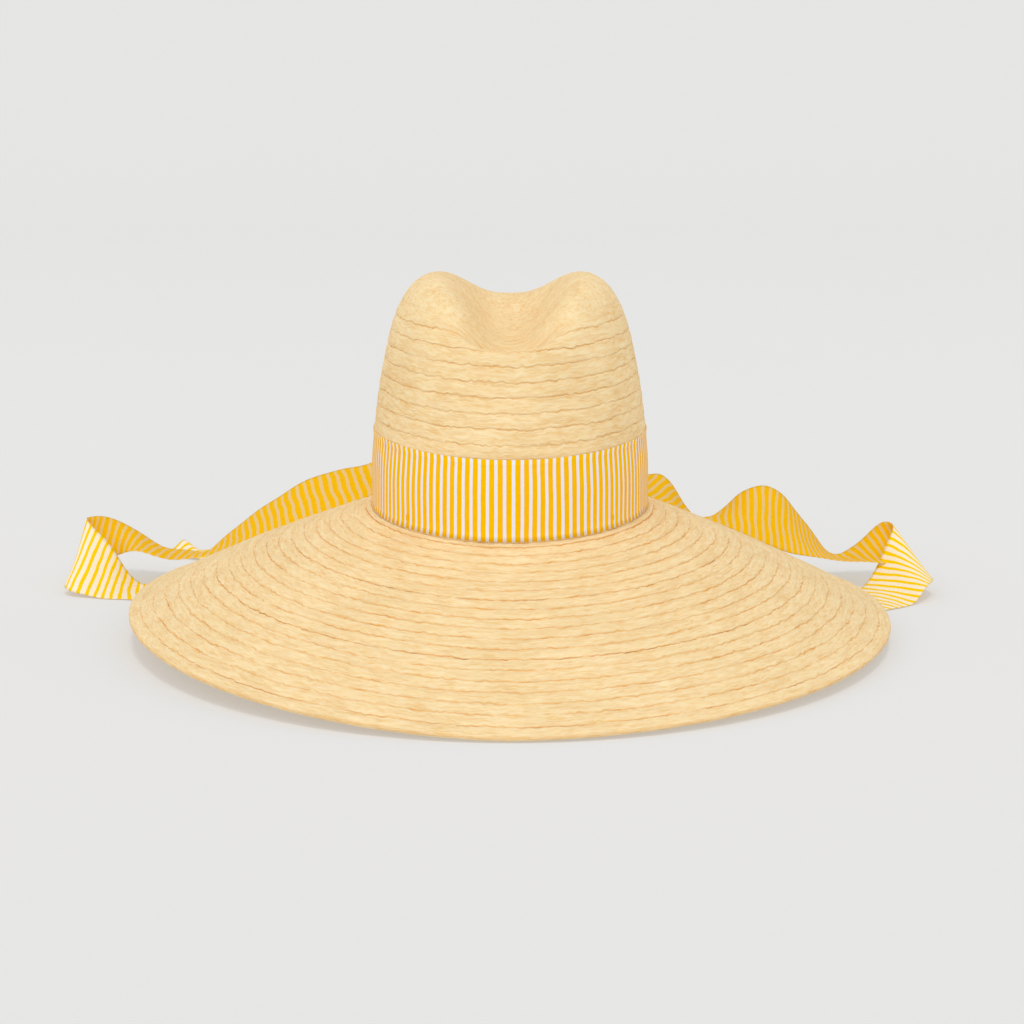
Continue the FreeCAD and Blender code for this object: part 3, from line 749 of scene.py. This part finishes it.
def make_knot():
    """Knot of the ribbon: pleats that run in from both tails, held by one turn round the middle."""
    low, high = (np.array(corner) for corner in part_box("ribbon_knot"))
    centre, half = (low + high) / 2, (high - low) / 2
    x = np.linspace(-1, 1, KNOT_ALONG)[:, None]
    turn = (np.arange(KNOT_ROUND) / KNOT_ROUND * math.tau)[None, :]
    side = np.abs(x) * half[0]
    wrap = 1.0 / (1.0 + np.exp((side - KNOT_WRAP) / WRAP_EDGE))
    flare = clamp((side - KNOT_WRAP) / (half[0] - KNOT_WRAP))
    swell = wrap * (1.0 - WRAP_BULGE * (side / KNOT_WRAP) ** 2)
    swell = swell + (1 - wrap) * (PLEAT_BASE + PLEAT_FLARE * flare ** 1.4)
    creases = WRAP_RELIEF * np.sin(x * 11 + 0.6 * np.sin(2 * turn)) * wrap
    pleats = PLEAT_RELIEF * np.sin(PLEATS * turn + 1.5 * x) * (1 - wrap)
    end = np.sqrt(clamp(1.0 - (side / half[0]) ** 10))
    radius = (swell + creases + pleats) * end
    y = centre[1] + half[1] * radius * np.cos(turn)
    z = centre[2] + half[2] * radius * np.sin(turn)
    y = np.maximum(y, low[1] - KNOT_SINK)
    points = np.stack([centre[0] + x * half[0] + 0 * turn, y, z], -1)
    faces = ring_faces(KNOT_ALONG, KNOT_ROUND, False)[:, ::-1].tolist()
    along = np.where(wrap > 0.5, turn * WRAP_ROUND, x * half[0] + 0 * turn)
    across = np.where(wrap > 0.5, x * half[0] + 0 * turn, turn * WRAP_ROUND)
    flat = np.stack([along, np.mod(across, BAND_WIDTH)], -1).reshape(-1, 2)
    uvs = flat[np.array(faces).ravel()]
    piece = new_object("ribbon_knot_cloth", points.reshape(-1, 3).tolist(), faces, uvs=uvs)
    enter(piece, "ribbon_knot")
    return piece


# ---- inside the crown ----
SWEATBAND, SWEATBAND_HEIGHT, SWEATBAND_FOOT = 0.9 * MM, 32.0 * MM, 3.0 * MM
SWEATBAND_LEAN = 1.2 * MM
SWEATBAND_INSET = 1.0 * MM  # its middle surface, in from the straw
PUCKER, PUCKER_CELLS = 0.35 * MM, 70
CAD_STRAW, CAD_GAP = 2.2 * MM, 0.05 * MM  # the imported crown's wall, and the gap inside it
SWEATBAND_AROUND, SWEATBAND_ACROSS = 540, 9
LABEL_WIDTH, LABEL_HEIGHT, LABEL = 42.0 * MM, 20.0 * MM, 0.4 * MM
LABEL_COLUMNS, LABEL_ROWS = 43, 15
LABEL_GAP = 0.85 * MM  # from the sweatband's middle surface to the label's
LABEL_SWELL, LABEL_HEM, HEM_FROM = 0.35 * MM, 0.25 * MM, 0.88


def inside_grid(angle, heights, inset):
    """Points inside the crown wall, and their outward directions, for angles and heights."""
    outward = head_outward(angle)
    wall = np.stack([HEAD_X * np.cos(angle), HEAD_Y * np.sin(angle), head_height(angle)], -1)
    lean = SWEATBAND_LEAN * (heights - SWEATBAND_FOOT) / SWEATBAND_HEIGHT
    depth = (CAD_STRAW + CAD_GAP + inset + lean)[None, :, None]
    points = wall[:, None, :] - outward[:, None, :] * depth
    points[..., 2] += heights[None, :]
    return points, np.broadcast_to(outward[:, None, :], points.shape)


def make_sweatband():
    """Ribbed band sewn inside the head opening, its join at the back."""
    angle = math.pi / 2 + np.linspace(0, math.tau, SWEATBAND_AROUND + 1)
    share = np.linspace(0, 1, SWEATBAND_ACROSS)
    heights = SWEATBAND_FOOT + share * SWEATBAND_HEIGHT
    sheet, outward = inside_grid(angle, heights, SWEATBAND_INSET)
    turn = np.mod(angle / math.tau, 1.0)
    puckers = PUCKER * ring_noise(turn, 0 * turn, PUCKER_CELLS, 910)[:, None] * (1 - share)[None, :] ** 2
    sheet = sheet - outward * np.abs(puckers)[..., None]
    along = run_length(sheet[:, 0])
    piece = thick_sheet("sweatband_cloth", sheet, outward, along[:, None],
                        share[None, :] * SWEATBAND_HEIGHT, SWEATBAND)
    enter(piece, "sweatband")
    return piece


def make_label():
    """Small woven label without lettering, sewn to the sweatband at the back."""
    low, high = (np.array(corner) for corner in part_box("inside_label"))
    middle = (low[2] + high[2]) / 2
    half_angle = (high[0] - low[0]) / 2 / HEAD_X
    angle = np.linspace(math.pi / 2 + half_angle, math.pi / 2 - half_angle, LABEL_COLUMNS)
    heights = np.linspace(-LABEL_HEIGHT / 2, LABEL_HEIGHT / 2, LABEL_ROWS) + middle - HEAD_Z
    sheet, outward = inside_grid(angle, heights, SWEATBAND_INSET + LABEL_GAP)
    across, up = grid(np.linspace(-1, 1, LABEL_COLUMNS), np.linspace(-1, 1, LABEL_ROWS))
    swell = LABEL_SWELL * (1 - across ** 6) * (1 - up ** 6)
    hems = LABEL_HEM * (np.abs(across) > HEM_FROM)
    sheet = sheet - outward * (swell + hems)[..., None]
    piece = thick_sheet("label_cloth", sheet, outward, np.linspace(0, LABEL_WIDTH, LABEL_COLUMNS)[:, None],
                        np.linspace(0, LABEL_HEIGHT, LABEL_ROWS)[None, :], LABEL)
    enter(piece, "inside_label")
    return piece


# ---- materials ----
def rgba(colour):
    return colour if len(colour) == 4 else (*colour, 1.0)


def scaled(colour, factor):
    return tuple(factor * channel for channel in colour)


class Shader:
    """Small helper for node materials."""

    def __init__(self, name):
        self.material = bpy.data.materials.new(name)
        self.material.use_nodes = True
        self.tree = self.material.node_tree
        self.surface = self.tree.nodes["Principled BSDF"]

    def node(self, kind, **settings):
        made = self.tree.nodes.new(kind)
        for key, value in settings.items():
            setattr(made, key, value)
        return made

    def link(self, output, socket):
        self.tree.links.new(output, socket)

    def feed(self, socket, given):
        """Sets a socket to a number or a colour, or links an output to it."""
        if isinstance(given, (int, float)):
            socket.default_value = given
        elif isinstance(given, tuple):
            socket.default_value = rgba(given)
        else:
            self.link(given, socket)

    def fill(self, node, values):
        for key, given in values.items():
            self.feed(node.inputs[key], given)

    def value(self, operation, *values):
        made = self.node("ShaderNodeMath", operation=operation)
        self.fill(made, dict(enumerate(values)))
        return made.outputs[0]

    def ramp(self, factor, stops, interpolation="LINEAR"):
        made = self.node("ShaderNodeValToRGB")
        made.color_ramp.interpolation = interpolation
        elements = made.color_ramp.elements
        while len(elements) < len(stops):
            elements.new(0.5)
        for element, (place, colour) in zip(elements, stops):
            element.position = place
            element.color = rgba(colour)
        self.link(factor, made.inputs[0])
        return made.outputs[0]

    def mix(self, factor, first, second, blend="MIX"):
        made = self.node("ShaderNodeMix", data_type="RGBA", blend_type=blend)
        self.fill(made, {0: factor, 6: first, 7: second})
        return made.outputs[2]

    def noise(self, vector, scale, detail=2.0, roughness=0.5):
        made = self.node("ShaderNodeTexNoise")
        self.fill(made, {"Vector": vector, "Scale": scale, "Detail": detail, "Roughness": roughness})
        return made.outputs["Fac"]

    def combine(self, x, y, z):
        made = self.node("ShaderNodeCombineXYZ")
        self.fill(made, {0: x, 1: y, 2: z})
        return made.outputs[0]

    def separate(self, vector):
        made = self.node("ShaderNodeSeparateXYZ")
        self.link(vector, made.inputs[0])
        return made.outputs

    def place(self):
        return self.node("ShaderNodeTexCoord").outputs["Object"]

    def weave(self):
        return self.node("ShaderNodeUVMap", uv_map="weave").outputs[0]

    def attribute(self, name):
        return self.node("ShaderNodeAttribute", attribute_name=name).outputs["Fac"]

    def paint(self, colour, roughness, specular=0.5, metallic=0.0):
        """Gives the surface its colour and the other values of its look."""
        self.fill(self.surface, {"Base Color": colour, "Roughness": roughness,
                                 "Specular IOR Level": specular, "Metallic": metallic})

    def bump(self, height, strength, distance):
        made = self.node("ShaderNodeBump")
        self.fill(made, {"Strength": strength, "Distance": distance, "Height": height})
        self.link(made.outputs[0], self.surface.inputs["Normal"])


def srgb(red, green, blue):
    """Linear colour from 8-bit screen values."""
    def linear(value):
        value /= 255.0
        return value / 12.92 if value <= 0.04045 else ((value + 0.055) / 1.055) ** 2.4
    return (linear(red), linear(green), linear(blue))


STRAW_LIGHT = srgb(252, 231, 186)
STRAW_MIDDLE = srgb(249, 221, 169)
STRAW_SHADE = srgb(243, 206, 143)
# Painted shade colour of the thin wrinkle lines along the rows.
STRAW_WRINKLE_SHADE = srgb(226, 164, 84)
# Painted shade colour of the creases under the rows' lips.
STRAW_CREASE_SHADE = srgb(232, 160, 70)
STRAW_PATCH = (0.955, 0.945, 0.92)  # the straw's darkest patches, as shares of its colour
WRINKLE_SHADE_SHARE, CREASE_SHADE_SHARE = 0.28, 0.85  # how far the painted shade of wrinkles and creases tints the straw
BLACK, WHITE = (0.0, 0.0, 0.0), (1.0, 1.0, 1.0)


def straw_material():
    shader = Shader("straw_braid")
    place = shader.place()
    x, y, _ = shader.separate(place)
    row, crease, smooth = (shader.attribute(name) for name in ("row", "crease", "smooth"))

    def fibres(length, per_row, detail):
        """Noise stretched along the rows: features of a stated length, and so many across a row."""
        vector = shader.combine(shader.value("MULTIPLY", x, 1 / length),
                                shader.value("MULTIPLY", y, 1 / length),
                                shader.value("MULTIPLY", row, per_row))
        return shader.noise(vector, 1.0, detail, 0.55)

    def along_or_even(rows, even):
        """Noise along the rows, or even noise where the braid is pressed smooth."""
        mixed = shader.node("ShaderNodeMix", data_type="FLOAT")
        shader.fill(mixed, {0: smooth, 2: rows, 3: even})
        return mixed.outputs[0]

    strands = along_or_even(fibres(11 * MM, 6.5, 2.0), shader.noise(place, 330.0, 2.0))
    hairs = along_or_even(fibres(5 * MM, 14.0, 3.0), shader.noise(place, 800.0, 3.0))
    patches = shader.noise(place, 28.0, 2.0)
    # The tone follows the same fibre noise that raises the bump below, so raised fibres are painted
    # lighter and hollows darker: partly painted highlight and shade, partly the straw's own uneven tone.
    tone = shader.value("MULTIPLY_ADD", strands, 0.5, shader.value("MULTIPLY", hairs, 0.5))
    colour = shader.ramp(tone, [(0.36, STRAW_SHADE), (0.48, STRAW_MIDDLE), (0.62, STRAW_LIGHT)])
    patch = shader.ramp(patches, [(0.35, STRAW_PATCH), (0.65, WHITE)])
    colour = shader.mix(1.0, colour, patch, "MULTIPLY")

    def wrinkles(length, per_row, even, width, gaps):
        """Thin broken lines along the rows."""
        field = along_or_even(fibres(length, per_row, 2.0), shader.noise(place, even, 2.0))
        line = shader.ramp(shader.value("ABSOLUTE", shader.value("SUBTRACT", field, 0.5)),
                           [(0.0, WHITE), (width, BLACK)])
        mask = along_or_even(fibres(1.3 * length, per_row / 2.3, 1.0), shader.noise(place, even / 2))
        mask = shader.ramp(mask, [(gaps, BLACK), (gaps + 0.12, WHITE)])
        return shader.value("MULTIPLY", line, mask)

    long_wrinkles = wrinkles(20 * MM, 4.2, 130.0, 0.1, 0.46)
    short_wrinkles = wrinkles(9 * MM, 6.5, 260.0, 0.11, 0.48)
    wrinkle_lines = shader.value("MAXIMUM", long_wrinkles, shader.value("MULTIPLY", short_wrinkles, 0.6))
    # The painted crease shade is broken up at random along the rows, down to half its strength.
    crease_shade_breaks = shader.ramp(fibres(8 * MM, 1.0, 2.0), [(0.36, scaled(WHITE, 0.5)), (0.6, WHITE)])
    crease = shader.value("MULTIPLY", crease, crease_shade_breaks)
    # Painted shade: the wrinkle lines tinted darker orange.
    colour = shader.mix(shader.value("MULTIPLY", wrinkle_lines, WRINKLE_SHADE_SHARE), colour, STRAW_WRINKLE_SHADE)
    # Painted shade: the creases tinted darker orange.
    colour = shader.mix(shader.value("MULTIPLY", crease, CREASE_SHADE_SHARE), colour, STRAW_CREASE_SHADE)
    shader.paint(colour, roughness=0.8, specular=0.2)
    relief = shader.value("MULTIPLY_ADD", strands, 0.8, shader.value("MULTIPLY", hairs, 0.55))
    relief = shader.value("SUBTRACT", relief, shader.value("MULTIPLY", wrinkle_lines, 0.5))
    shader.bump(relief, 0.5, 0.6 * MM)
    return shader.material


BAND_YELLOW, BAND_PALE = srgb(255, 194, 0), srgb(240, 238, 250)
# Lit and shaded copies of the tails' stripes. The face is painted shade: darker gold, with its pale
# stripes painted beige as shade with warm bounce light. The reverse is painted light: brighter yellow and
# cream. The reverse's print is also paler, with narrower yellow stripes.
TAIL_GOLD_SHADED, TAIL_BEIGE_SHADED = srgb(248, 190, 4), srgb(238, 202, 138)
TAIL_YELLOW_LIT, TAIL_CREAM_LIT = srgb(255, 212, 0), srgb(255, 240, 214)
CORDS = 6  # raised cords in the width of one stripe and its gap
PICK_LENGTH = 0.45 * MM  # spacing of the threads across the ribbon
STRIPE_EDGE = 0.03  # blurred edge of a stripe, as a share of the pitch


def ribbon_material(name, pitch, waver, widening, face, reverse):
    """Woven stripes across the ribbon. Each side is given as yellow, pale, and yellow's share,
    and the widening is how much more of a stripe is yellow at the hat's sides than in front."""
    shader = Shader(name)
    uv = shader.weave()
    length, width, _ = shader.separate(uv)
    turned = shader.value("GREATER_THAN", width, REVERSE / 2)
    along = shader.value("MULTIPLY_ADD", shader.noise(uv, 60.0, 1.0), waver, length)
    phase = shader.value("FRACT", shader.value("DIVIDE", along, pitch))
    x, _, _ = shader.separate(shader.place())
    sideways = shader.value("DIVIDE", shader.value("ABSOLUTE", x), HEAD_X)
    narrowed = shader.value("MULTIPLY_ADD", shader.value("POWER", sideways, 6.0), -widening, 1.0)
    phase = shader.value("MULTIPLY", phase, narrowed)
    cords = shader.value("SINE", shader.value("MULTIPLY", along, math.tau / (pitch / CORDS)))
    picks = shader.value("SINE", shader.value("MULTIPLY", width, math.tau / PICK_LENGTH))
    shade = shader.noise(uv, 260.0, 2.0)
    sides = []
    for yellow, pale, share in (face, reverse):
        stripe = shader.ramp(phase, [(0.0, BLACK), (STRIPE_EDGE, WHITE), (share, WHITE),
                                     (share + STRIPE_EDGE, BLACK)])
        yellow_tone = shader.ramp(shade, [(0.35, scaled(yellow, 0.96)), (0.6, yellow)])
        # The pale stripes are painted up to 10% darker in the grooves between the raised cords: painted
        # shade.
        raised = shader.value("MULTIPLY_ADD", cords, 0.5, 0.5)
        pale_tone = shader.ramp(raised, [(0.0, scaled(pale, 0.9)), (0.5, pale)])
        sides.append(shader.mix(stripe, pale_tone, yellow_tone))
    shader.paint(shader.mix(turned, *sides), roughness=0.75, specular=0.03)
    relief = shader.value("MULTIPLY_ADD", cords, 0.6, shader.value("MULTIPLY", picks, 0.4))
    shader.bump(relief, 0.15, 0.1 * MM)
    return shader.material


def ribbed_material(name, colour, pitch):
    """Cloth with fine ribs across its length."""
    shader = Shader(name)
    uv = shader.weave()
    ribs = shader.value("SINE", shader.value("MULTIPLY", shader.separate(uv)[0], math.tau / pitch))
    fibres = shader.noise(uv, 900.0, 3.0)
    # The colour is darker in the ribs' hollows, which is painted shade, mixed with random fibre tone.
    tone = shader.value("MULTIPLY_ADD", ribs, 0.25, fibres)
    shader.paint(shader.ramp(tone, [(0.2, scaled(colour, 0.72)), (0.6, colour)]), 0.7, 0.2)
    shader.bump(shader.value("MULTIPLY_ADD", ribs, 0.5, fibres), 0.5, 0.2 * MM)
    return shader.material


def plain_material(name, colour, roughness, metallic=0.0, grain=400.0):
    shader = Shader(name)
    grey = shader.noise(shader.place(), grain, 3.0)
    shader.paint(shader.ramp(grey, [(0.3, scaled(colour, 0.82)), (0.7, colour)]), roughness,
                 metallic=metallic)
    shader.bump(grey, 0.2, 0.2 * MM)
    return shader.material


def dress(piece, material):
    if not piece.material_slots:
        piece.data.materials.append(material)
    for place in piece.material_slots:
        place.material = material


# ---- stage ----
FLOOR_PALE, FLOOR_FAR = (0.488, 0.486, 0.48), 0.86  # colour nearby, and its share far behind
FADE_SCALE, FADE_FROM, FADE_TO = 10.0, 0.05, 0.5  # metres behind the hat, and shares of them
FLOOR_GLOW, GLOW_COLOUR = 0.33, (0.99, 0.992, 0.992, 1.0)
FLOOR_HALF, FLOOR_FRONT = 30.0, -6.0
WALL_FOOT, WALL_BEND, WALL_TOP, WALL_STEPS = 3.0, 3.0, 7.0, 24
WORLD_LIGHT = 0.5
# Soft suns: strength, spread in degrees, and the direction each one shines from.
SUNS = (("key", 0.88, 90.0, (-0.15, -1.0, 0.9)), ("overhead", 0.65, 10.0, (0.0, -0.4, 1.0)),
        ("left_fill", 0.3, 60.0, (-1.0, -0.2, 0.35)), ("right_fill", 0.24, 60.0, (1.0, -0.2, 0.35)))


def floor_material():
    """Pale floor that gets darker behind the hat and glows a little, so that shadows stay soft."""
    shader = Shader("pale_floor")
    place = shader.place()
    near = shader.ramp(shader.noise(place, 3.0, 2.0), [(0.3, scaled(FLOOR_PALE, 0.99)), (0.7, FLOOR_PALE)])
    behind = shader.value("DIVIDE", shader.separate(place)[1], FADE_SCALE)
    distance = shader.ramp(behind, [(FADE_FROM, BLACK), (FADE_TO, WHITE)])
    shader.paint(shader.mix(distance, near, scaled(FLOOR_PALE, FLOOR_FAR)), roughness=0.9, specular=0.0)
    shader.fill(shader.surface, {"Emission Color": GLOW_COLOUR, "Emission Strength": FLOOR_GLOW})
    return shader.material


def make_stage():
    """Floor that bends up into a wall far behind."""
    section = [(FLOOR_FRONT, 0.0)]
    for step in range(WALL_STEPS + 1):
        bend = math.pi / 2 * step / WALL_STEPS
        section.append((WALL_FOOT + WALL_BEND * math.sin(bend), WALL_BEND * (1 - math.cos(bend))))
    section.append((WALL_FOOT + WALL_BEND, WALL_TOP))
    vertices = [(side * FLOOR_HALF, y, z) for y, z in section for side in (-1, 1)]
    faces = [(2 * index, 2 * index + 1, 2 * index + 3, 2 * index + 2) for index in range(len(section) - 1)]
    floor = new_object("floor", vertices, faces)
    dress(floor, floor_material())


def make_lights():
    world = bpy.data.worlds.new("studio")
    world.use_nodes = True
    background = world.node_tree.nodes["Background"]
    background.inputs["Color"].default_value = (1.0, 1.0, 1.0, 1.0)
    background.inputs["Strength"].default_value = WORLD_LIGHT
    bpy.context.scene.world = world
    for name, strength, spread, source in SUNS:
        data = bpy.data.lights.new(name, "SUN")
        data.angle = math.radians(spread)
        data.energy = strength
        light = bpy.data.objects.new(name, data)
        light.location = source
        light.rotation_euler = (-Vector(source)).to_track_quat("-Z", "Y").to_euler()
        bpy.context.scene.collection.objects.link(light)
    settings = bpy.context.scene.view_settings
    settings.view_transform = "Standard"
    settings.look = "None"


def main():
    make_camera()
    straw = straw_material()
    for piece in make_crown() + make_brim():
        dress(piece, straw)
    band_ribbon = ribbon_material("ribbon_band", BAND_PITCH, waver=0.7 * MM, widening=0.2,
                                  face=(BAND_YELLOW, BAND_PALE, 0.6),
                                  reverse=(TAIL_YELLOW_LIT, TAIL_CREAM_LIT, 0.4))
    # The tails show their painted-shade face along the runs and the painted-light reverse on the turned
    # panels.
    tail_ribbon = ribbon_material("ribbon_tails", TAIL_PITCH, waver=3.2 * MM, widening=0.0,
                                  face=(TAIL_GOLD_SHADED, TAIL_BEIGE_SHADED, 0.6),
                                  reverse=(TAIL_YELLOW_LIT, TAIL_CREAM_LIT, 0.42))
    dress(make_band(), band_ribbon)
    for piece in make_tails() + [make_knot()]:
        dress(piece, tail_ribbon)
    dress(make_sweatband(), ribbed_material("grosgrain", srgb(244, 232, 206), 1.1 * MM))
    dress(make_label(), ribbed_material("label_satin", srgb(250, 246, 236), 0.5 * MM))
    thread = plain_material("cotton_thread", srgb(243, 226, 186), 0.85, grain=1500.0)
    for node, material in (
            ("brim_wire", plain_material("spring_wire", (0.42, 0.42, 0.43), 0.35, 1.0, 900.0)),
            ("wire_joiner", plain_material("brass_sleeve", (0.72, 0.5, 0.2), 0.32, 1.0, 700.0)),
            ("band_tacks", plain_material("yellow_thread", srgb(250, 192, 30), 0.85, grain=1500.0)),
            ("sweatband_stitches", thread)):
        dress(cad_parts[node], material)
    make_stage()
    make_lights()


main()
